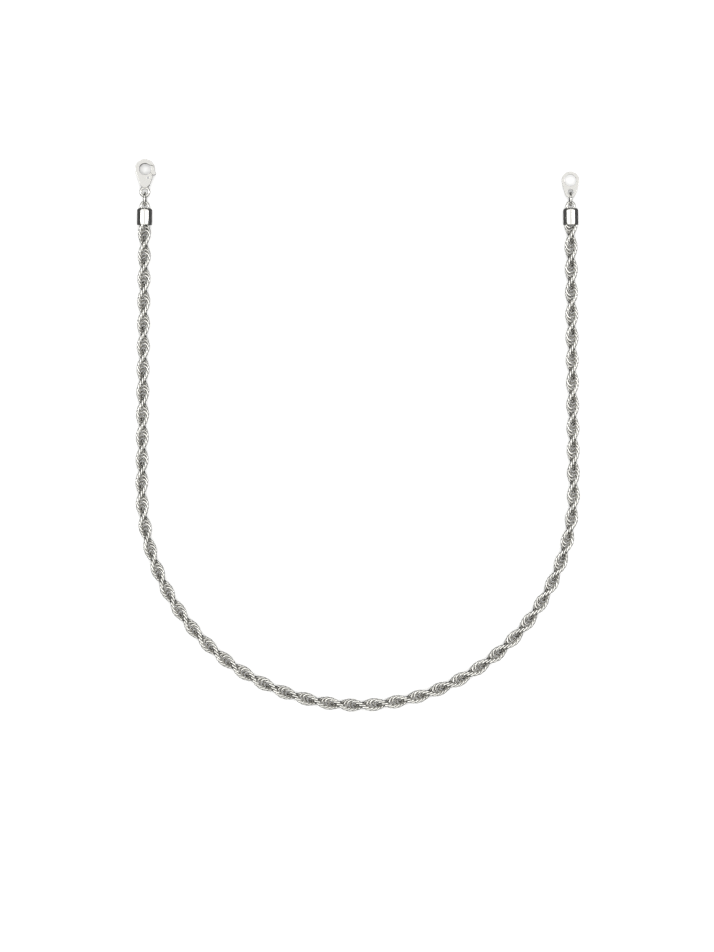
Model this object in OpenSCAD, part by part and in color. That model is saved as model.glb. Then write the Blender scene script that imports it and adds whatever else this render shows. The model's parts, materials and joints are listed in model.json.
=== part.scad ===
// Rope chain necklace, 4 mm, laid open on a flat surface in the shape it is worn in.
//
// The rope is a double helix of open round links. Every link lies in a plane that holds the
// chain's centre line, each is turned a little further than the one before, and each passes
// through the three links that follow it. The open side of a link faces along the chain, where
// the fourth link's wire lies. One node is one stiff group of links, and a hinge joins it
// to the next. The two ends are held in caps, with a sprung hook on one and a
// catch plate on the other.
//
// The origin is on the surface, under the middle of the necklace's outline. +Y runs from the
// curve to the hook, and +Z is up from the surface.

/* [Rope] */
// Outer diameter of a link, which is the nominal width of the rope
link_od = 4; // [3.9:0.05:5.2]
// Diameter of the link wire
link_wire = 0.64; // [0.4:0.01:0.66]
// Distance along the rope from one link to the next
link_pitch = 1; // [0.98:0.01:1.3]
// Links in half a turn of the helix
links_per_half_turn = 7; // [7:1:9]
// Open part of a link's circle, in degrees
link_gap = 66; // [58:1:80]

/* [Layout] */
// Radius of the curve that the rope is laid in
curve_r = 66.8; // [40:0.1:120]
// Lean of each straight arm towards the middle, in degrees
arm_lean = 0.6; // [0:0.1:4]
// Links from the lowest link of the curve to the end of either arm
links_per_arm = 189; // [182:1:260]
// Hinged groups of links on each side of the middle group
groups_per_arm = 25; // [4:1:25]

/* [End caps] */
// Wall thickness of the cup that holds the end of the rope
cap_wall = 0.25; // [0.15:0.05:0.6]
// Length of rope held inside the cup
cap_grip = 4.3; // [3:0.1:8]
// Thickness of the closed end of the cup
cap_floor = 0.8; // [0.5:0.1:1.5]
// Wire of the loop on the cap
cap_loop_wire = 0.7; // [0.5:0.05:0.8]
// Inner diameter of the loop on the cap
cap_loop_id = 1.6; // [1.5:0.05:2.4]

/* [Jump rings] */
// Wire of a jump ring
jump_wire = 0.8; // [0.5:0.05:0.8]
// Inner diameter of a jump ring
jump_id = 2.8; // [2.6:0.1:4]

/* [Hook] */
// Thickness of the hook's body
hook_t = 2.4; // [2.2:0.1:3]
// Outer radius of the round part of the hook
hook_r = 3; // [2.95:0.05:3.4]
// Radius of the hook's inner opening
hook_open_r = 1.8; // [1.5:0.05:1.85]
// Distance from the middle of the eye to the middle of the opening
hook_reach = 7; // [6.8:0.1:8]
// Radius of the foot, next to the eye
hook_foot_r = 1.7; // [1.6:0.05:2]
// Wire of the eye at the foot of the hook
eye_wire = 0.8; // [0.6:0.05:0.9]
// Inner diameter of the eye
eye_id = 1.8; // [1.7:0.05:2.2]
// Diameter of the pivot pin
pin_d = 0.7; // [0.5:0.05:0.8]
// Distance of the pivot back from the middle of the opening
pivot_back = 2.7; // [2.6:0.05:2.9]
// Distance of the pivot to the mouth side
pivot_side = 1; // [0.9:0.05:1.1]
// Metal around the pin in the lever
hub_wall = 0.45; // [0.35:0.05:0.5]
// Thickness of the lever where it runs in its slot
lever_t = 0.9; // [0.6:0.05:1]
// Radius of the thumb piece on the lever
thumb_r = 0.6; // [0.4:0.05:0.7]
// Wall between the foot and the slot
foot_wall = 0.9; // [0.7:0.05:1.1]
// Wire of the lever's coil spring
spring_wire = 0.2; // [0.12:0.02:0.22]
// Outer diameter of the spring
spring_od = 1; // [0.8:0.05:1.05]
// Turns of the spring
spring_turns = 4; // [3:1:5]

/* [Catch] */
// Thickness of the catch plate
catch_t = 0.8; // [0.5:0.05:1.2]
// Diameter of the hole that the hook closes through
catch_hole = 3.6; // [3:0.1:5]
// Width of metal around the holes
catch_rim = 0.9; // [0.6:0.05:1.4]
// Distance between the two holes of the catch
catch_span = 3.6; // [3.6:0.1:6]

/* [Fits] */
// Gap between the rope and the wall of its cap
rope_clear = 0.05; // [0.03:0.01:0.1]
// Play between two linked rings
ring_play = 0.08; // [0.05:0.01:0.2]
// Gap on each side of the lever in its slot
lever_clear = 0.1; // [0.06:0.01:0.2]
// Radial gap between the pin and the lever
pin_clear = 0.05; // [0.02:0.01:0.1]
// Gap between the lever's tip and the nose
tip_gap = 0.1; // [0.06:0.01:0.2]
// How far the lever's tip stops short of the far side of the opening
tip_short = 0.75; // [0.6:0.05:0.9]

/* [Hidden] */
$fn = 32;
link_r = (link_od - link_wire) / 2;
turn_step = 180 / links_per_half_turn;
arc_half = curve_r * (90 + arm_lean) * PI / 180;
axis_z = link_od / 2 + rope_clear + cap_wall;

// The middle group starts here, so that a hinge falls where the links leave it the most room
first_link = -4;
group_links = links_per_half_turn;
middle_turn = 90 - turn_step;

group_names = [for (g = [-groups_per_arm : groups_per_arm])
    g == 0 ? "rope_middle" : str("rope_", g < 0 ? "left_" : "right_", abs(g) < 10 ? "0" : "", abs(g))];
hardware_names = ["end_cap_left", "end_cap_right", "jump_ring_left", "jump_ring_right",
    "hook_body", "hook_lever", "hook_pin", "hook_spring", "catch_plate"];

silver = [0.86, 0.86, 0.85];
steel = [0.62, 0.63, 0.65];

// First link of a group, and the link after its last one
function group_start(g) = g == -groups_per_arm ? -links_per_arm : first_link + g * group_links;
function group_end(g) = g == groups_per_arm ? links_per_arm : first_link + (g + 1) * group_links;

// Heading and place of the rope's centre line at a distance s from the lowest link
function heading(s) = abs(s) < arc_half ? s / curve_r * 180 / PI : sign(s) * (90 + arm_lean);
function past_arc(s) = max(abs(s) - arc_half, 0);
function centre_line(s) = let (a = heading(s), m = sign(s) * past_arc(s))
    [curve_r * sin(a) + m * cos(a), -curve_r * cos(a) + m * sin(a) + arc_y];

// How deep the loop is sunk in the end of its cap
loop_sink = 0.05;
// How far a cut runs on past the metal
over = 1;

// Places of the hardware, measured from the lowest link of the curve
rope_end = links_per_arm * link_pitch;
cap_mouth = rope_end - cap_grip + link_od / 2;
cap_face = rope_end + link_od / 2 + rope_clear + cap_floor;
loop_r = (cap_loop_id + cap_loop_wire) / 2;
jump_r = (jump_id + jump_wire) / 2;
eye_r = (eye_id + eye_wire) / 2;
loop_at = cap_face + loop_r - cap_loop_wire / 2 - loop_sink;
jump_at = loop_at + loop_r - (cap_loop_wire + jump_wire) / 2 - ring_play + jump_r;
eye_at = jump_at + jump_r - (jump_wire + eye_wire) / 2 - ring_play + eye_r;
// The plate's square edge meets the ring's round inside at half its own thickness
catch_at = jump_at + sqrt(pow(jump_id / 2, 2) - pow(catch_t / 2, 2)) - ring_play + eye_id / 2;

// The outline's middle lies half way between the curve's outer edge and the hook's nose
hook_nose = eye_at + hook_reach + hook_r;
arm_top = (hook_nose - arc_half) * cos(arm_lean) + curve_r * sin(arm_lean);
arc_y = (curve_r + link_od / 2 - arm_top) / 2;

module at_rope(s) {
    p = centre_line(s);
    translate([p[0], p[1], axis_z]) rotate([0, 0, heading(s)]) children();
}

// Local +X runs outwards along the arm, from the end of the rope
module at_left(s) { at_rope(-s) rotate([0, 0, 180]) children(); }
module at_right(s) { at_rope(s) children(); }

module wire_ring(r, wire, gap = 0) {
    rotate([0, 0, gap / 2]) rotate_extrude(angle = 360 - gap) translate([r, 0]) circle(d = wire);
}

module link(i) {
    at_rope((i + 0.5) * link_pitch)
        rotate([middle_turn + i * turn_step, 0, 0])
            wire_ring(link_r, link_wire, link_gap);
}

module rope_group(g) {
    color(silver) for (i = [group_start(g) : group_end(g) - 1]) link(i);
}

module end_cap() {
    bore_r = link_od / 2 + rope_clear;
    outer_r = bore_r + cap_wall;
    length = cap_face - cap_mouth;
    color(silver) {
        translate([cap_mouth - cap_face, 0, 0]) rotate([0, 90, 0]) difference() {
            union() {
                cylinder(r = outer_r, h = length - cap_floor);
                translate([0, 0, length - cap_floor])
                    cylinder(r1 = outer_r, r2 = outer_r - cap_floor, h = cap_floor);
            }
            translate([0, 0, -over]) cylinder(r = bore_r, h = length - cap_floor + over);
        }
        translate([loop_at - cap_face, 0, 0]) wire_ring(loop_r, cap_loop_wire);
    }
}

module end_cap_left() { at_left(cap_face) end_cap(); }
module end_cap_right() { at_right(cap_face) end_cap(); }

module jump_ring() { color(silver) rotate([90, 0, 0]) wire_ring(jump_r, jump_wire); }
module jump_ring_left() { at_left(jump_at) jump_ring(); }
module jump_ring_right() { at_right(jump_at) jump_ring(); }

// The hook lies flat, with its mouth on local -Y. Its own origin is the middle of the eye.
hook_foot = eye_r + hook_foot_r;
pivot = [hook_reach - pivot_back, -pivot_side];
pivot_dist = norm([pivot_back, pivot_side]);
hub_r = pin_d / 2 + pin_clear + hub_wall;
slot_t = lever_t + 2 * lever_clear;
tip_r = pivot_dist + hook_open_r - tip_short;
// Length and width of the lever's tail, which presses on the spring
tail_len = 2.1;
tail_w = 0.8;
// How far the lever's thick part lies below each face of the body
lever_inset = 0.25;
slot_floor = hook_foot - hook_foot_r + foot_wall;
slot_side = pivot[1] + tail_len + lever_clear;
spring_y = slot_side - spring_od / 2 - lever_clear;
spring_len = pivot[0] - tail_w / 2 - slot_floor;

// Directions around the middle of the opening: the mouth's start, the start of the lever's
// thick part, the thumb piece, and the mouth's end
mouth_from = 228;
thick_from = 238;
thumb_at = 246;
mouth_end = 345;

module at_hook() { at_left(eye_at) color(silver) children(); }
module at_pivot() { translate([pivot[0], pivot[1], 0]) children(); }
module at_opening() { translate([hook_reach, 0, 0]) children(); }
module disc(r, t) { cylinder(r = r, h = t, center = true); }

// Solid bar with round ends of two sizes, whose sides touch both ends
module taper_bar(r1, r2, span, t) {
    a = acos((r1 - r2) / span);
    disc(r1, t);
    translate([span, 0, 0]) disc(r2, t);
    translate([0, 0, -t / 2]) linear_extrude(t) polygon([
        [r1 * cos(a), r1 * sin(a)], [span + r2 * cos(a), r2 * sin(a)],
        [span + r2 * cos(a), -r2 * sin(a)], [r1 * cos(a), -r1 * sin(a)]]);
}

// Flat arc between two radii and two directions
module arc_bar(r_in, r_out, from, to, t) {
    rotate([0, 0, from]) rotate_extrude(angle = to - from)
        translate([r_in, -t / 2]) square([r_out - r_in, t]);
}

module hook_body() {
    at_hook() difference() {
        union() {
            wire_ring(eye_r, eye_wire);
            translate([hook_foot, 0, 0])
                taper_bar(hook_foot_r, hook_r, hook_reach - hook_foot, hook_t);
        }
        disc(eye_id / 2, hook_t + over);
        at_opening() disc(hook_open_r, hook_t + over);
        mouth_cut();
        lever_slot();
        at_pivot() disc(pin_d / 2, hook_t + over);
    }
}

// The mouth ends on a circle around the pivot, so the lever swings in past the nose
module mouth_cut() {
    intersection() {
        at_opening() arc_bar(hook_open_r - over, hook_r + over, mouth_from, mouth_end, hook_t + over);
        at_pivot() disc(tip_r + tip_gap, hook_t + over);
    }
}

// The slot holds the hub, the tail and the spring, and is open on the mouth side
module lever_slot() {
    at_pivot() disc(hub_r + 2 * lever_clear, slot_t);
    translate([slot_floor, -hook_r, -slot_t / 2])
        cube([pivot[0] + tail_w / 2 + lever_clear - slot_floor, hook_r + slot_side, slot_t]);
    translate([pivot[0], -hook_r, -slot_t / 2])
        cube([hook_reach - pivot[0], hook_r - lever_clear * 2, slot_t]);
}

module hook_lever() {
    thick_t = hook_t - 2 * lever_inset;
    at_hook() difference() {
        union() {
            at_pivot() disc(hub_r, lever_t);
            at_pivot() translate([-tail_w / 2, 0, -lever_t / 2]) cube([tail_w, tail_len, lever_t]);
            lever_arc(pivot_dir, lever_t);
            lever_arc(thick_from, thick_t);
            at_opening() rotate([0, 0, thumb_at]) translate([hook_r, 0, 0]) disc(thumb_r, thick_t);
        }
        at_pivot() disc(pin_d / 2 + pin_clear, lever_t + over);
    }
}

pivot_dir = 180 + atan2(pivot_side, pivot_back);

module lever_arc(from, t) {
    intersection() {
        at_opening() arc_bar(hook_open_r + lever_clear, hook_r - lever_clear, from, mouth_end, t);
        at_pivot() disc(tip_r, t + over);
    }
}

module hook_pin() {
    at_left(eye_at) color(steel) at_pivot() disc(pin_d / 2, hook_t);
}

coil_sides = 8;
coil_steps_per_turn = 14;

// One point ring of the spring's wire, at a share u of its length
function coil_ring(u) = let (a = 360 * spring_turns * u, r = (spring_od - spring_wire) / 2)
    [for (k = [0 : coil_sides - 1]) let (b = 360 / coil_sides * k, q = r + spring_wire / 2 * cos(b))
        [q * cos(a), q * sin(a), spring_wire / 2 * sin(b) + u * (spring_len - spring_wire)]];

module coil() {
    steps = spring_turns * coil_steps_per_turn;
    last = coil_sides - 1;
    points = [for (i = [0 : steps]) each coil_ring(i / steps)];
    sides = [for (i = [0 : steps - 1], k = [0 : last]) let (a = i * coil_sides, n = (k + 1) % coil_sides)
        [a + k, a + n, a + coil_sides + n, a + coil_sides + k]];
    ends = [[for (k = [last : -1 : 0]) k], [for (k = [0 : last]) steps * coil_sides + k]];
    polyhedron(points, concat(sides, ends));
}

module hook_spring() {
    at_left(eye_at) color(steel) translate([slot_floor + spring_wire / 2, spring_y, 0])
        rotate([0, 90, 0]) coil();
}

module catch_plate() {
    small_r = eye_id / 2 + catch_rim;
    big_r = catch_hole / 2 + catch_rim;
    at_right(catch_at) color(silver) difference() {
        taper_bar(small_r, big_r, catch_span, catch_t);
        cylinder(d = eye_id, h = catch_t + over, center = true);
        translate([catch_span, 0, 0]) cylinder(d = catch_hole, h = catch_t + over, center = true);
    }
}

for (g = [-groups_per_arm : groups_per_arm]) {
    rope_group(g);
}
end_cap_left();
end_cap_right();
jump_ring_left();
jump_ring_right();
hook_body();
hook_lever();
hook_pin();
hook_spring();
catch_plate();
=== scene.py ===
"""Looks of a silver rope chain necklace, laid open in a U on a pale table.

The rope's links are made by one Geometry Nodes tree, run once for each hinged group. Sizes are in
metres and repeat the model's own: the places of hooks, rings and caps come from its boxes and joints.
"""
import json
import math

import bmesh
import bpy
import numpy as np
from mathutils import Matrix, Vector


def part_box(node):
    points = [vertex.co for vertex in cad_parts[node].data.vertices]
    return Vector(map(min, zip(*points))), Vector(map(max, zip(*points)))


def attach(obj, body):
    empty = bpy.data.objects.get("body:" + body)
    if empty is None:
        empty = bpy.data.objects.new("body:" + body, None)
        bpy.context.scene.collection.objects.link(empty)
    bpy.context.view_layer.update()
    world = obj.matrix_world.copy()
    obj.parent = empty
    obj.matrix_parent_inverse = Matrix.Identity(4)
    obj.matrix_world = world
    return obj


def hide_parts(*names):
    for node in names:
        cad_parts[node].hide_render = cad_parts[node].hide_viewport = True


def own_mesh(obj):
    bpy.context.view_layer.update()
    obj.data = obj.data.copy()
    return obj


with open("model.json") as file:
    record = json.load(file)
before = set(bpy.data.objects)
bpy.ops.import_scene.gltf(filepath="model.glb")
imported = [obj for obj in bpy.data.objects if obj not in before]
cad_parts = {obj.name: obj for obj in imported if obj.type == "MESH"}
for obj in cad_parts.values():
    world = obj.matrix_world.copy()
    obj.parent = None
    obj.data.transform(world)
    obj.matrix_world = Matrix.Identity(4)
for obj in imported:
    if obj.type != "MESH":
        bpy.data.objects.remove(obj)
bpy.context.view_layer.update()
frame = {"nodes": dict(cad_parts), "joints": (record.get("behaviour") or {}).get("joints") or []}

MM = 0.001

# ---------------------------------------------------------------- sizes of the rope
LINK_OD = 4.0 * MM
WIRE = 0.64 * MM
LINK_PITCH = 1.0 * MM
LINKS_PER_HALF_TURN = 7
LINK_GAP = math.radians(66)
CURVE_R = 66.8 * MM
ARM_LEAN = math.radians(0.6)
LINKS_PER_ARM = 189
GROUPS_PER_ARM = 25
FIRST_LINK = -4
TURN_STEP = math.pi / LINKS_PER_HALF_TURN
MIDDLE_TURN = math.pi / 2 - TURN_STEP
LINK_R = (LINK_OD - WIRE) / 2

# ---------------------------------------------------------------- sizes of the findings
CAP_WALL, CAP_GRIP, CAP_FLOOR = 0.25 * MM, 4.3 * MM, 0.8 * MM
ROPE_CLEAR = 0.05 * MM
CAP_LOOP_WIRE, CAP_LOOP_ID, LOOP_SINK = 0.7 * MM, 1.6 * MM, 0.05 * MM
JUMP_WIRE, JUMP_ID, RING_PLAY = 0.8 * MM, 2.8 * MM, 0.08 * MM
SPRING_WIRE, SPRING_OD, SPRING_TURNS = 0.2 * MM, 1.0 * MM, 4

joints = {j["name"]: j for j in frame["joints"]}
AXIS_Z = joints["bend_left_01"]["pos_m"][2]
ARC_Y = joints["bend_right_01"]["pos_m"][1] + CURVE_R * math.cos(3 * LINK_PITCH / CURVE_R)


# ---------------------------------------------------------------- node helpers
def node_tools(tree):
    """Short calls for adding a node with its settings and inputs, and for linking it."""
    def add(kind, inputs=None, **settings):
        n = tree.nodes.new(kind)
        for key, value in settings.items():
            setattr(n, key, value)
        for key, value in (inputs or {}).items():
            if isinstance(value, bpy.types.NodeSocket):
                tree.links.new(value, n.inputs[key])
            else:
                n.inputs[key].default_value = value
        return n

    def maths(operation, *values, clamp=False):
        n = tree.nodes.new("ShaderNodeMath")
        n.operation, n.use_clamp = operation, clamp
        for i, value in enumerate(values):
            if isinstance(value, bpy.types.NodeSocket):
                tree.links.new(value, n.inputs[i])
            else:
                n.inputs[i].default_value = value
        return n.outputs[0]

    return add, maths


def new_geometry_tree(name, inputs):
    """An empty Geometry Nodes tree with named inputs; gives the tree, its helpers and its inputs."""
    tree = bpy.data.node_groups.new(name, "GeometryNodeTree")
    for label, kind in inputs:
        tree.interface.new_socket(label, in_out="INPUT", socket_type="NodeSocket" + kind)
    tree.interface.new_socket("Geometry", in_out="OUTPUT", socket_type="NodeSocketGeometry")
    add, maths = node_tools(tree)
    return tree, add, maths, add("NodeGroupInput").outputs


def finish_tree(tree, add, geometry, material):
    real = add("GeometryNodeRealizeInstances", {"Geometry": geometry})
    painted = add("GeometryNodeSetMaterial", {"Geometry": real.outputs[0], "Material": material})
    out = add("NodeGroupOutput")
    tree.links.new(painted.outputs[0], out.inputs[0])


def run_tree(tree, values, name):
    """Runs a tree once on an empty mesh and keeps the result as a plain mesh object."""
    holder = bpy.data.objects.new(name + "_maker", bpy.data.meshes.new(name + "_maker"))
    bpy.context.scene.collection.objects.link(holder)
    modifier = holder.modifiers.new("maker", "NODES")
    modifier.node_group = tree
    for item in tree.interface.items_tree:
        if item.in_out == "INPUT" and item.name in values:
            modifier[item.identifier] = values[item.name]
    evaluated = holder.evaluated_get(bpy.context.evaluated_depsgraph_get())
    mesh = bpy.data.meshes.new_from_object(evaluated)
    mesh.name = name
    holder.modifiers.remove(modifier)
    bpy.data.objects.remove(holder)
    piece = bpy.data.objects.new(name, mesh)
    bpy.context.scene.collection.objects.link(piece)
    return piece


# ---------------------------------------------------------------- materials
def polish_group():
    """Hand polish on silver: fine scratches, soft waviness, and a tarnish that stays in the recesses."""
    group = bpy.data.node_groups.new("silver_polish", "ShaderNodeTree")
    face = group.interface
    for label, kind, value in (
        ("Recess", "Float", 0.0), ("Tone", "Float", 0.5), ("Bright", "Color", (0.93, 0.92, 0.90, 1)),
        ("Tarnish", "Color", (0.35, 0.32, 0.28, 1)), ("Tarnish Amount", "Float", 0.5),
        ("Roughness", "Float", 0.08), ("Scratch Scale", "Float", 2500.0), ("Scratch Depth", "Float", 0.05),
        ("Wave Scale", "Float", 400.0), ("Wave Depth", "Float", 0.05),
    ):
        face.new_socket(label, in_out="INPUT", socket_type="NodeSocket" + kind).default_value = value
    face.new_socket("Coordinates", in_out="INPUT", socket_type="NodeSocketVector")
    for label, kind in (("Color", "Color"), ("Roughness", "Float"), ("Normal", "Vector")):
        face.new_socket(label, in_out="OUTPUT", socket_type="NodeSocket" + kind)
    add, maths = node_tools(group)
    given = add("NodeGroupInput").outputs
    place = given["Coordinates"]
    blotch = add("ShaderNodeTexNoise", {"Vector": place, "Scale": given["Wave Scale"], "Detail": 3.0})
    stretch = add("ShaderNodeMapping", {"Vector": place, "Rotation": (0.3, 0.5, 0.9), "Scale": (1, 0.08, 1)})
    scratch = add("ShaderNodeTexNoise", {"Vector": stretch.outputs[0], "Scale": given["Scratch Scale"],
                                         "Detail": 4.0, "Roughness": 0.7})
    # Tarnish needs both a recess and a patch where the cloth did not reach
    patch = add("ShaderNodeMapRange", {"Value": blotch.outputs["Fac"], "From Min": 0.3, "From Max": 0.7,
                                       "To Min": 0.55, "To Max": 1.0})
    held = maths("MULTIPLY", given["Recess"], patch.outputs[0])
    amount = maths("MULTIPLY", held, given["Tarnish Amount"], clamp=True)
    colour = add("ShaderNodeMix", data_type="RGBA")
    group.links.new(amount, colour.inputs[0])
    group.links.new(given["Bright"], colour.inputs[6])
    group.links.new(given["Tarnish"], colour.inputs[7])
    shade = add("ShaderNodeMapRange", {"Value": given["Tone"], "To Min": 0.9, "To Max": 1.05})
    toned = add("ShaderNodeVectorMath", {0: colour.outputs[2], "Scale": shade.outputs[0]}, operation="SCALE")
    rough_scratch = maths("MULTIPLY", maths("SUBTRACT", scratch.outputs["Fac"], 0.5), 0.08)
    rough = maths("ADD", maths("ADD", given["Roughness"], rough_scratch), maths("MULTIPLY", amount, 0.25))
    wave = add("ShaderNodeBump", {"Height": blotch.outputs["Fac"], "Strength": given["Wave Depth"],
                                  "Distance": 0.0002})
    fine = add("ShaderNodeBump", {"Height": scratch.outputs["Fac"], "Strength": given["Scratch Depth"],
                                  "Distance": 0.00003, "Normal": wave.outputs[0]})
    out = add("NodeGroupOutput")
    group.links.new(toned.outputs[0], out.inputs["Color"])
    group.links.new(rough, out.inputs["Roughness"])
    group.links.new(fine.outputs[0], out.inputs["Normal"])
    return group


POLISH = polish_group()


def metal(name, recess=None, tone=None, **settings):
    """A polished metal. recess and tone name the mesh attributes that drive tarnish and shade."""
    material = bpy.data.materials.new(name)
    material.use_nodes = True
    tree = material.node_tree
    tree.nodes.clear()
    add, _ = node_tools(tree)
    polish = add("ShaderNodeGroup", node_tree=POLISH)
    for label, value in settings.items():
        polish.inputs[label.replace("_", " ").title()].default_value = value
    place = add("ShaderNodeTexCoord").outputs["Object"]
    tree.links.new(place, polish.inputs["Coordinates"])
    for label, attribute in (("Recess", recess), ("Tone", tone)):
        if attribute:
            read = add("ShaderNodeAttribute", attribute_name=attribute)
            tree.links.new(read.outputs["Fac"], polish.inputs[label])
    shader = add("ShaderNodeBsdfPrincipled", {"Metallic": 1.0, "Base Color": polish.outputs["Color"],
                                              "Roughness": polish.outputs["Roughness"],
                                              "Normal": polish.outputs["Normal"]})
    out = add("ShaderNodeOutputMaterial")
    tree.links.new(shader.outputs[0], out.inputs[0])
    return material


SILVER = (0.94, 0.93, 0.9, 1)
rope_silver = metal("rope_silver", recess="recess", tone="tone", bright=SILVER, tarnish_amount=0.3,
                    roughness=0.06, scratch_depth=0.01, wave_depth=0.02, wave_scale=900.0)
cap_silver = metal("cap_silver", bright=SILVER, roughness=0.1, scratch_depth=0.08)
ring_silver = metal("ring_silver", bright=SILVER, roughness=0.09, scratch_depth=0.05)
hook_silver = metal("hook_silver", recess="recess", bright=SILVER, tarnish_amount=0.5, roughness=0.1,
                    wave_depth=0.12)
lever_silver = metal("lever_silver", recess="recess", bright=SILVER, roughness=0.1, wave_depth=0.12)
catch_silver = metal("catch_silver", bright=SILVER, roughness=0.11, scratch_depth=0.1)
steel = metal("steel", bright=(0.62, 0.62, 0.64, 1), roughness=0.22, scratch_depth=0.1)


# ---------------------------------------------------------------- rope links
def link_tree():
    """Open round links along the curve and its straight arms, each turned on from the last."""
    tree, add, maths, given = new_geometry_tree("rope_links", (
        ("First Link", "Int"), ("Link Count", "Int"), ("Link Pitch", "Float"), ("Link Radius", "Float"),
        ("Wire Radius", "Float"), ("Link Gap", "Float"), ("Curve Radius", "Float"), ("Arm Lean", "Float"),
        ("Arc Y", "Float"), ("Height", "Float"), ("Turn Step", "Float"), ("Middle Turn", "Float"),
        ("Wobble", "Float"), ("Seed", "Int"), ("Material", "Material")))
    index = add("GeometryNodeInputIndex").outputs[0]

    # One link: a wire bent round, with its open side on +X and both ends chamfered
    steps = 19
    last = steps - 1
    line = add("GeometryNodeMeshLine", {"Count": steps})
    edge = maths("MINIMUM", index, maths("SUBTRACT", last, index))
    chamfer = maths("MULTIPLY", given["Wire Radius"], 0.3)
    chamfer_turn = maths("DIVIDE", chamfer, given["Link Radius"])
    sweep = maths("SUBTRACT", 2 * math.pi, given["Link Gap"])
    inner_share = maths("DIVIDE", maths("SUBTRACT", index, 1), last - 2, clamp=True)
    is_start = maths("LESS_THAN", index, 0.5)
    is_end = maths("GREATER_THAN", index, last - 0.5)
    inside = maths("SUBTRACT", sweep, maths("MULTIPLY", chamfer_turn, 2))
    base = maths("ADD", maths("MULTIPLY", inner_share, inside), chamfer_turn)
    shift = maths("MULTIPLY", maths("SUBTRACT", is_end, is_start), chamfer_turn)
    turn = maths("ADD", maths("ADD", base, shift), maths("MULTIPLY", given["Link Gap"], 0.5))
    spot = add("ShaderNodeCombineXYZ", {
        "X": maths("MULTIPLY", given["Link Radius"], maths("COSINE", turn)),
        "Y": maths("MULTIPLY", given["Link Radius"], maths("SINE", turn))})
    bent = add("GeometryNodeSetPosition", {"Geometry": line.outputs[0], "Position": spot.outputs[0]})
    wire_path = add("GeometryNodeMeshToCurve", {"Mesh": bent.outputs[0]})
    full = maths("GREATER_THAN", edge, 0.5)
    thick = add("GeometryNodeSetCurveRadius", {
        "Curve": wire_path.outputs[0], "Radius": maths("ADD", 0.7, maths("MULTIPLY", full, 0.3))})
    section = add("GeometryNodeCurvePrimitiveCircle", {"Resolution": 7, "Radius": given["Wire Radius"]})
    # The wire's own radius, so that the chamfered ends are thinner
    own_radius = add("GeometryNodeInputRadius").outputs[0]
    wire = add("GeometryNodeCurveToMesh", {"Curve": thick.outputs[0], "Profile Curve": section.outputs[0],
                                           "Scale": own_radius, "Fill Caps": True})
    # Recess: how near a point lies to the middle of the rope, where a cloth cannot reach
    where = add("ShaderNodeSeparateXYZ", {0: add("GeometryNodeInputPosition").outputs[0]})
    off_axis = maths("ABSOLUTE", where.outputs["Y"])
    share = maths("DIVIDE", off_axis, given["Link Radius"])
    recess = add("ShaderNodeMapRange", {"Value": share, "From Min": 0.35, "From Max": 1.0,
                                        "To Min": 1.0, "To Max": 0.0})
    link = add("GeometryNodeStoreNamedAttribute", {"Geometry": wire.outputs[0], "Name": "recess",
                                                   "Value": recess.outputs[0]}, data_type="FLOAT")

    # Places of the links
    dots = add("GeometryNodePoints", {"Count": given["Link Count"]})
    number = maths("ADD", maths("ADD", index, given["First Link"]), 0.5)
    along = maths("MULTIPLY", number, given["Link Pitch"])
    arc_angle = maths("ADD", given["Arm Lean"], math.pi / 2)
    heading = maths("MAXIMUM", maths("MINIMUM", maths("DIVIDE", along, given["Curve Radius"]), arc_angle),
                    maths("MULTIPLY", arc_angle, -1))
    beyond = maths("SUBTRACT", along, maths("MULTIPLY", heading, given["Curve Radius"]))
    sine, cosine = maths("SINE", heading), maths("COSINE", heading)
    x = maths("ADD", maths("MULTIPLY", given["Curve Radius"], sine), maths("MULTIPLY", beyond, cosine))
    y = maths("SUBTRACT", maths("MULTIPLY", beyond, sine), maths("MULTIPLY", given["Curve Radius"], cosine))
    place = add("ShaderNodeCombineXYZ", {"X": x, "Y": maths("ADD", y, given["Arc Y"]), "Z": given["Height"]})
    placed = add("GeometryNodeSetPosition", {"Geometry": dots.outputs[0], "Position": place.outputs[0]})
    link_number = maths("SUBTRACT", number, 0.5)
    twist = maths("ADD", maths("MULTIPLY", link_number, given["Turn Step"]), given["Middle Turn"])
    turned = add("ShaderNodeCombineXYZ", {"X": twist, "Z": heading})

    def wobble(salt, share_of):
        spread = maths("MULTIPLY", given["Wobble"], share_of)
        return add("FunctionNodeRandomValue", {"Min": maths("MULTIPLY", spread, -1), "Max": spread,
                                               "ID": link_number, "Seed": maths("ADD", given["Seed"], salt)},
                   data_type="FLOAT").outputs[1]
    loose = add("ShaderNodeCombineXYZ", {"X": wobble(1, 1.0), "Y": wobble(2, 1.0), "Z": wobble(3, 3.0)})
    rotation = add("FunctionNodeRotateRotation", {"Rotation": turned.outputs[0], "Rotate By": loose.outputs[0]},
                   rotation_space="LOCAL")
    copies = add("GeometryNodeInstanceOnPoints", {"Points": placed.outputs[0], "Instance": link.outputs[0],
                                                  "Rotation": rotation.outputs[0]})
    tone = add("FunctionNodeRandomValue", {"ID": link_number, "Seed": given["Seed"]}, data_type="FLOAT")
    toned = add("GeometryNodeStoreNamedAttribute", {"Geometry": copies.outputs[0], "Name": "tone",
                                                    "Value": tone.outputs[1]},
                data_type="FLOAT", domain="INSTANCE")
    finish_tree(tree, add, toned.outputs[0], given["Material"])
    return tree


def group_range(number):
    """First link of a hinged group, and the link after its last one."""
    first = FIRST_LINK + number * LINKS_PER_HALF_TURN
    end = first + LINKS_PER_HALF_TURN
    if number == -GROUPS_PER_ARM:
        first = -LINKS_PER_ARM
    if number == GROUPS_PER_ARM:
        end = LINKS_PER_ARM
    return first, end


def group_node(number):
    if number == 0:
        return "rope_middle"
    return f"rope_{'left' if number < 0 else 'right'}_{abs(number):02d}"


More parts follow.
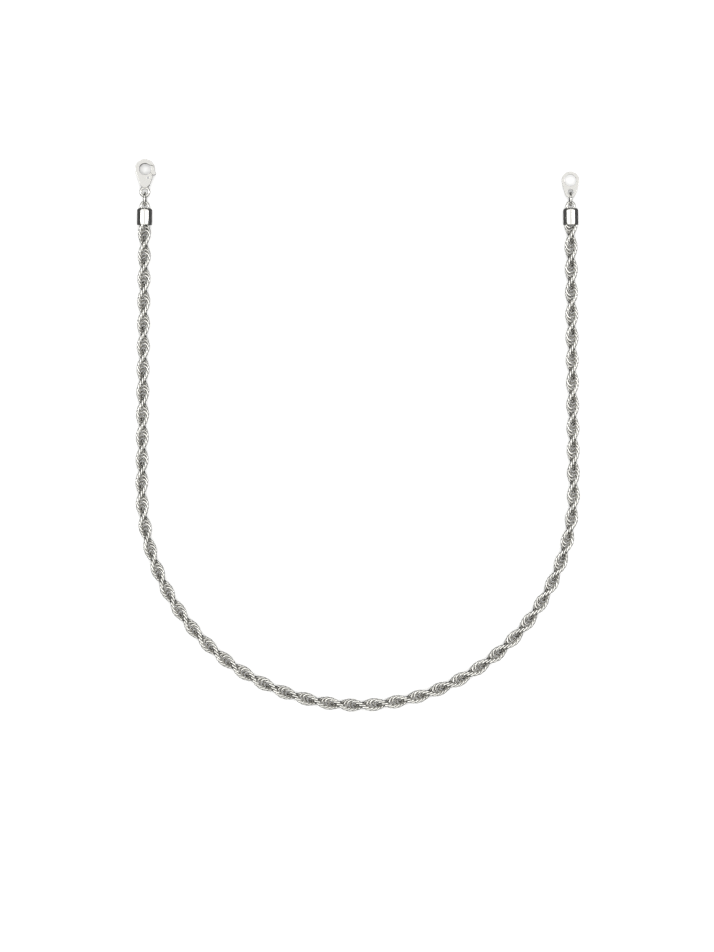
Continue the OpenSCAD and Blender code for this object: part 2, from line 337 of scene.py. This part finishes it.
def make_rope():
    tree = link_tree()
    for number in range(-GROUPS_PER_ARM, GROUPS_PER_ARM + 1):
        first, end = group_range(number)
        node = group_node(number)
        links = run_tree(tree, {
            "First Link": first, "Link Count": end - first, "Link Pitch": LINK_PITCH, "Link Radius": LINK_R,
            "Wire Radius": WIRE / 2, "Link Gap": LINK_GAP, "Curve Radius": CURVE_R, "Arm Lean": ARM_LEAN,
            "Arc Y": ARC_Y, "Height": AXIS_Z, "Turn Step": TURN_STEP, "Middle Turn": MIDDLE_TURN,
            "Wobble": math.radians(0.5), "Seed": 11, "Material": rope_silver}, node + "_links")
        links.data.shade_smooth()
        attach(links, node)
        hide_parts(node)


make_rope()

# ---------------------------------------------------------------- mesh helpers
def new_piece(name, mesh, look, body, stands_for):
    """Adds a finished mesh as a piece that rides on a body in place of a CAD node."""
    for polygon in mesh.polygons:
        polygon.use_smooth = True
    mesh.materials.clear()
    mesh.materials.append(look)
    piece = bpy.data.objects.new(name, mesh)
    bpy.context.scene.collection.objects.link(piece)
    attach(piece, body)
    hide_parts(stands_for)
    return piece


def skin_rings(build, rings, closed=False):
    """Joins equal rings of points with faces. An open run gets a flat face on each end."""
    layers = [[build.verts.new(p) for p in ring] for ring in rings]
    count = len(layers[0])
    pairs = list(zip(layers, layers[1:])) + ([(layers[-1], layers[0])] if closed else [])
    for one, two in pairs:
        for k in range(count):
            n = (k + 1) % count
            build.faces.new((one[k], one[n], two[n], two[k]))
    if not closed:
        build.faces.new(reversed(layers[0]))
        build.faces.new(layers[-1])


def wire_rings(path, wire_r, across, sides):
    """Rings of a round wire along a planar path, thinner at its ends. across is the plane's normal."""
    rings = []
    for i, point in enumerate(path):
        ahead = path[min(i + 1, len(path) - 1)] - path[max(i - 1, 0)]
        side = ahead.normalized().cross(across)
        radius = wire_r * (0.8 if i in (0, len(path) - 1) else 1.0)
        rings.append([point + radius * (math.cos(t) * side + math.sin(t) * across)
                      for t in (math.tau * k / sides for k in range(sides))])
    return rings


def bent_ring(build, frame_of, radius, wire_r, seam, seam_at, steps=56, sides=16):
    """A wire bent round until its two cut ends nearly meet, at the direction seam_at."""
    half = seam / radius / 2
    chamfer = 0.06 * MM / radius
    turns = [half, half + chamfer] + [half + chamfer + (math.tau - 2 * half - 2 * chamfer) * i / steps
                                      for i in range(1, steps)] + [math.tau - half - chamfer, math.tau - half]
    path = [Vector((radius * math.cos(seam_at + t), radius * math.sin(seam_at + t), 0)) for t in turns]
    rings = wire_rings(path, wire_r, Vector((0, 0, 1)), sides)
    skin_rings(build, [[frame_of @ p for p in ring] for ring in rings])


def revolve(build, frame_of, profile, sides=64):
    """Turns a closed profile of (distance along X, radius) points round the local X axis."""
    rings = []
    for k in range(sides):
        t = math.tau * k / sides
        rings.append([frame_of @ Vector((x, r * math.cos(t), r * math.sin(t))) for x, r in profile])
    layers = [[build.verts.new(p) for p in ring] for ring in rings]
    for k in range(sides):
        one, two = layers[k], layers[(k + 1) % sides]
        for i in range(len(profile)):
            j = (i + 1) % len(profile)
            build.faces.new((one[i], one[j], two[j], two[i]))


def close_mesh(build, name, merge=0.2e-6):
    """Merges doubles, turns the faces outwards and keeps the result as a mesh."""
    bmesh.ops.remove_doubles(build, verts=build.verts, dist=merge)
    bmesh.ops.recalc_face_normals(build, faces=build.faces)
    mesh = bpy.data.meshes.new(name)
    build.to_mesh(mesh)
    build.free()
    return mesh


def arm_frame(side, along):
    """Frame at a distance along an arm: X runs outwards along the arm, Z up."""
    way = -1 if side == "left" else 1
    arc_angle = math.pi / 2 + ARM_LEAN
    beyond = along - arc_angle * CURVE_R
    turn = way * arc_angle
    spot = Vector((CURVE_R * math.sin(turn) + way * beyond * math.cos(turn),
                   ARC_Y - CURVE_R * math.cos(turn) + way * beyond * math.sin(turn), AXIS_Z))
    return Matrix.Translation(spot) @ Matrix.Rotation(turn + (math.pi if way < 0 else 0), 4, "Z")


# ---------------------------------------------------------------- end caps and jump rings
CAP_FACE = LINKS_PER_ARM * LINK_PITCH + LINK_OD / 2 + ROPE_CLEAR + CAP_FLOOR
CAP_MOUTH = LINKS_PER_ARM * LINK_PITCH - CAP_GRIP + LINK_OD / 2
LOOP_R = (CAP_LOOP_ID + CAP_LOOP_WIRE) / 2
JUMP_R = (JUMP_ID + JUMP_WIRE) / 2
LOOP_AT = CAP_FACE + LOOP_R - CAP_LOOP_WIRE / 2 - LOOP_SINK


def cap_profile(length, bore_r, outer_r):
    """Cup with a rolled lip at its mouth, a soft shoulder and a flat floor inside."""
    lip = CAP_WALL / 2
    middle_r = bore_r + lip
    points = [(lip - lip * math.sin(t), middle_r - lip * math.cos(t)) for t in
              (math.pi * k / 8 for k in range(9))]
    shoulder = CAP_FLOOR * 0.9
    points += [(length - shoulder + shoulder * math.sin(t), outer_r - shoulder + shoulder * math.cos(t))
               for t in (math.pi / 2 * k / 10 for k in range(11))]
    points += [(length, 0.02 * MM), (length - CAP_FLOOR, 0.02 * MM)]
    inner = 0.2 * MM
    points += [(length - CAP_FLOOR - inner + inner * math.cos(t), bore_r - inner + inner * math.sin(t))
               for t in (math.pi / 2 * k / 5 for k in range(6))]
    return points


def make_cap(side):
    node = "end_cap_" + side
    build = bmesh.new()
    bore_r = LINK_OD / 2 + ROPE_CLEAR
    revolve(build, arm_frame(side, CAP_MOUTH), cap_profile(CAP_FACE - CAP_MOUTH, bore_r, bore_r + CAP_WALL))
    middle = arm_frame(side, LOOP_AT)
    turns = [math.tau * k / 48 for k in range(48)]
    rings = []
    for t in turns:
        out = Vector((math.cos(t), math.sin(t), 0))
        rings.append([middle @ (out * LOOP_R + CAP_LOOP_WIRE / 2
                                * (math.cos(u) * out + Vector((0, 0, math.sin(u)))))
                      for u in (math.tau * k / 16 for k in range(16))])
    skin_rings(build, rings, closed=True)
    # Solder drawn into the corner between the loop and the cap
    solder = bmesh.ops.create_uvsphere(build, u_segments=24, v_segments=12, radius=1)
    shape = arm_frame(side, CAP_FACE) @ Matrix.Diagonal((0.2 * MM, 0.85 * MM, 0.42 * MM, 1))
    bmesh.ops.transform(build, matrix=shape, verts=solder["verts"])
    new_piece(node + "_turned", close_mesh(build, node), cap_silver, "rope_" + side + "_25", node)


def make_jump_ring(side):
    node = "jump_ring_" + side
    build = bmesh.new()
    ring_at = LOOP_AT + LOOP_R - (CAP_LOOP_WIRE + JUMP_WIRE) / 2 + JUMP_R - RING_PLAY
    upright = arm_frame(side, ring_at) @ Matrix.Rotation(math.pi / 2, 4, "X")
    bent_ring(build, upright, JUMP_R, JUMP_WIRE / 2, 0.04 * MM, math.radians(75))
    new_piece(node + "_wire", close_mesh(build, node), ring_silver, node, node)


# ---------------------------------------------------------------- cast and pressed pieces
def soft_copy(node, name, voxel_mm, passes):
    """A CAD node's shape with its edges rounded over, as tumbling and polishing leave them."""
    build = bmesh.new()
    build.from_mesh(frame["nodes"][node].data)
    bmesh.ops.scale(build, vec=(1 / MM,) * 3, verts=build.verts)
    rough = close_mesh(build, name, merge=1e-4)
    holder = bpy.data.objects.new(name + "_maker", rough)
    bpy.context.scene.collection.objects.link(holder)
    grid = holder.modifiers.new("grid", "REMESH")
    grid.mode, grid.voxel_size, grid.adaptivity = "VOXEL", voxel_mm, 0.0
    ease = holder.modifiers.new("ease", "SMOOTH")
    ease.factor, ease.iterations = 0.5, passes
    evaluated = holder.evaluated_get(bpy.context.evaluated_depsgraph_get())
    mesh = bpy.data.meshes.new_from_object(evaluated)
    bpy.data.objects.remove(holder)
    mark_recesses(mesh, voxel_mm)
    mesh.transform(Matrix.Scale(MM, 4))
    return mesh


def mark_recesses(mesh, step_mm):
    """Stores how hollow the surface is at each point, from 0 to 1, as recess."""
    count = len(mesh.vertices)
    places = np.empty(count * 3, dtype=np.float32)
    normals = np.empty(count * 3, dtype=np.float32)
    mesh.vertices.foreach_get("co", places)
    mesh.vertex_normals.foreach_get("vector", normals)
    places, normals = places.reshape(-1, 3), normals.reshape(-1, 3)
    ends = np.empty(len(mesh.edges) * 2, dtype=np.int32)
    mesh.edges.foreach_get("vertices", ends)
    ends = ends.reshape(-1, 2)
    degree = np.bincount(ends.ravel(), minlength=count).astype(np.float32)

    def neighbours(values):
        total = np.zeros_like(values)
        np.add.at(total, ends[:, 0], values[ends[:, 1]])
        np.add.at(total, ends[:, 1], values[ends[:, 0]])
        return total / (degree[:, None] if values.ndim > 1 else degree)
    bend = ((neighbours(places) - places) * normals).sum(axis=1) / step_mm
    for _ in range(6):
        bend = (bend + neighbours(bend)) / 2
    store = mesh.attributes.new("recess", "FLOAT", "POINT")
    store.data.foreach_set("value", np.clip(bend * 9, 0, 1).astype(np.float32))


def make_hook():
    new_piece("hook_body_cast", soft_copy("hook_body", "hook_body_cast", 0.06, 10), hook_silver, "hook",
              "hook_body")
    new_piece("hook_lever_cast", soft_copy("hook_lever", "hook_lever_cast", 0.05, 8), lever_silver,
              "hook_lever", "hook_lever")
    new_piece("catch_plate_pressed", soft_copy("catch_plate", "catch_plate_pressed", 0.05, 8),
              catch_silver, "catch_plate", "catch_plate")


def make_pin():
    """Pin with slightly domed, riveted ends."""
    low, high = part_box("hook_pin")
    middle = [(a + b) / 2 for a, b in zip(low, high)]
    radius, half = (high[0] - low[0]) / 2, (high[2] - low[2]) / 2
    upright = Matrix.Translation(middle) @ Matrix.Rotation(-math.pi / 2, 4, "Y")
    dome = 0.07 * MM
    cap = [(half + dome * math.cos(t), radius * math.sin(t)) for t in (math.pi / 2 * k / 8 for k in range(9))]
    outline = cap + [(-x, r) for x, r in reversed(cap)]
    build = bmesh.new()
    rings = [[upright @ Vector((x, r * math.cos(a), r * math.sin(a)))
              for a in (math.tau * k / 32 for k in range(32))] for x, r in outline[1:-1]]
    skin_rings(build, rings)
    new_piece("hook_pin_riveted", close_mesh(build, "hook_pin"), steel, "hook", "hook_pin")


def make_spring():
    """Coil whose end turns close up."""
    low, high = [Vector(v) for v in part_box("hook_spring")]
    middle = (low + high) / 2
    way = arm_frame("left", CAP_FACE).to_3x3() @ Vector((1, 0, 0))
    length = (high - low).y / abs(way.y) - SPRING_WIRE
    across = Vector((0, 0, 1)).cross(way)
    coil_r = (SPRING_OD - SPRING_WIRE) / 2
    steps = 28 * SPRING_TURNS
    path = []
    for i in range(steps + 1):
        share = i / steps
        rise = share + math.sin(math.tau * share) * -0.06
        turn = math.tau * SPRING_TURNS * share
        path.append(middle + way * (rise - 0.5) * length
                    + coil_r * (math.cos(turn) * across + math.sin(turn) * Vector((0, 0, 1))))
    rings = []
    for i, point in enumerate(path):
        ahead = (path[min(i + 1, steps)] - path[max(i - 1, 0)]).normalized()
        inward = (middle + way * (point - middle).dot(way) - point).normalized()
        side = ahead.cross(inward).normalized()
        rings.append([point + SPRING_WIRE / 2 * (math.cos(t) * inward + math.sin(t) * side)
                      for t in (math.tau * k / 10 for k in range(10))])
    build = bmesh.new()
    skin_rings(build, rings)
    spring = new_piece("hook_spring_coil", close_mesh(build, "hook_spring"), steel, "hook", "hook_spring")
    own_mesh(spring)


for arm in ("left", "right"):
    make_cap(arm)
    make_jump_ring(arm)
make_hook()
make_pin()
make_spring()


# ---------------------------------------------------------------- table, light and camera
def flat_panel(name, width, depth, place, target, power, mirrored=True):
    data = bpy.data.lights.new(name, "AREA")
    data.shape, data.size, data.size_y = "RECTANGLE", width, depth
    data.energy = power
    lamp = bpy.data.objects.new(name, data)
    lamp.visible_glossy = mirrored
    lamp.location = place
    lamp.rotation_euler = (Vector(target) - Vector(place)).to_track_quat("-Z", "Y").to_euler()
    bpy.context.scene.collection.objects.link(lamp)


def make_table():
    half = 4.0
    mesh = bpy.data.meshes.new("table_top")
    corners = [(-half, -half, 0), (half, -half, 0), (half, half, 0), (-half, half, 0)]
    mesh.from_pydata(corners, [], [(0, 1, 2, 3)])
    table = bpy.data.objects.new("table_top", mesh)
    bpy.context.scene.collection.objects.link(table)
    look = bpy.data.materials.new("pale_table")
    look.use_nodes = True
    tree = look.node_tree
    add, _ = node_tools(tree)
    shader = tree.nodes["Principled BSDF"]
    place = add("ShaderNodeTexCoord").outputs["Object"]
    grain = add("ShaderNodeTexNoise", {"Vector": place, "Scale": 900.0, "Detail": 3.0})
    tint = add("ShaderNodeMapRange", {"Value": grain.outputs["Fac"], "To Min": 0.94, "To Max": 0.96})
    # Painted reflection: glossy rays see the table painted near-black, so the silver mirrors dark edges where
    # no dark thing stands; the camera sees the table pale
    seen = add("ShaderNodeLightPath").outputs["Is Glossy Ray"]
    glossy_painted_dark = add("ShaderNodeMix", {0: seen, 6: tint.outputs[0], 7: (0.04, 0.04, 0.042, 1)}, data_type="RGBA")
    tree.links.new(glossy_painted_dark.outputs[2], shader.inputs["Base Color"])
    shader.inputs["Roughness"].default_value = 0.8
    shader.inputs["Specular IOR Level"].default_value = 0.1
    mesh.materials.append(look)


make_table()
flat_panel("left_panel", 0.3, 0.9, (-0.8, 0.1, 0.9), (0, 0, 0), 1.6)
flat_panel("right_panel", 0.3, 0.9, (0.8, 0.1, 0.9), (0, 0, 0), 1.6)
# This one lights the table only: silver doesn't mirror it
flat_panel("table_fill", 1.6, 1.6, (0.0, 0.0, 1.6), (0, 0, 0), 22, mirrored=False)


def make_studio():
    """A white tent: bright overhead, a little dimmer straight above, with a dark gap round the horizon."""
    world = bpy.data.worlds.new("studio")
    bpy.context.scene.world = world
    world.use_nodes = True
    tree = world.node_tree
    add, _ = node_tools(tree)
    back = tree.nodes["Background"]
    way = add("ShaderNodeSeparateXYZ", {0: add("ShaderNodeTexCoord").outputs["Generated"]})
    ramp = add("ShaderNodeValToRGB", {0: way.outputs["Z"]})
    stops = ramp.color_ramp.elements
    stops[0].position, stops[0].color = 0.0, (0.06, 0.06, 0.063, 1)
    stops[1].position, stops[1].color = 1.0, (0.85, 0.85, 0.84, 1)
    for spot, level in ((0.36, 0.07), (0.54, 0.6), (0.74, 1.25), (0.88, 1.1)):
        stop = stops.new(spot)
        stop.color = (level, level, level * 0.97, 1)
    # Straight past the table the eye sees a pale wall, not the tent
    direct = add("ShaderNodeLightPath").outputs["Is Camera Ray"]
    wall = add("ShaderNodeMix", {0: direct, 6: ramp.outputs[0], 7: (1.0, 1.0, 1.0, 1)}, data_type="RGBA")
    tree.links.new(wall.outputs[2], back.inputs["Color"])


make_studio()
bpy.context.scene.view_settings.view_transform = "Standard"

# The camera looks straight down, from far enough off that the rope keeps one width all round.
# Its sensor's width lies along the taller side of the view.
VIEW_HEIGHT = 294.5 * MM
VIEW_MIDDLE = (-0.2 * MM, -12.5 * MM)
CAMERA_HEIGHT = 1.3
camera_data = bpy.data.cameras.new("camera")
camera_data.sensor_width = 24.0
camera_data.lens = camera_data.sensor_width * (CAMERA_HEIGHT - AXIS_Z) / VIEW_HEIGHT
camera_data.clip_start = 0.01
camera = bpy.data.objects.new("camera", camera_data)
camera.location = (*VIEW_MIDDLE, CAMERA_HEIGHT)
bpy.context.scene.collection.objects.link(camera)
bpy.context.scene.camera = camera
